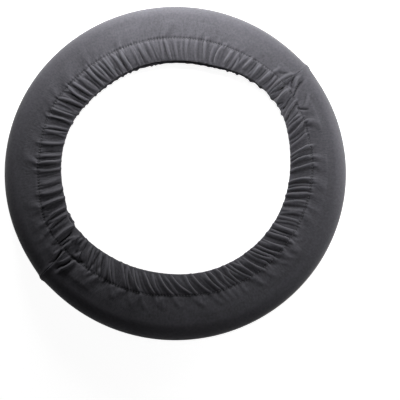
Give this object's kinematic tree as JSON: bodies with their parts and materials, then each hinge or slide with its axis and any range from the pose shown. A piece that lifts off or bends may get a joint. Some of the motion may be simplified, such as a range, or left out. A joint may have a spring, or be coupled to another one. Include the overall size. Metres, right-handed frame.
{
  "type": "steering wheel cover",
  "caption": "Stretch fabric ring that pulls over a steering wheel's rim, with a gathered, elasticated hem along each inner edge.",
  "frame": {"origin": "on the ring's axis, midway between its front and its back", "axes": "+Z along the ring's axis, out of the face that the driver sees; +Y towards the top of the wheel as pictured, +X to the driver's right"},
  "size_m": [0.3798, 0.38, 0.037],
  "materials": {
    "cover_fabric": "matt stretch knit with a soft sheen",
    "elastic": "woven elastic band"
  },
  "bodies": {
    "root": {"upper_fabric_length": "cover_fabric", "lower_fabric_length": "cover_fabric", "front_elastic": "elastic", "back_elastic": "elastic"}
  },
  "joints": []
}
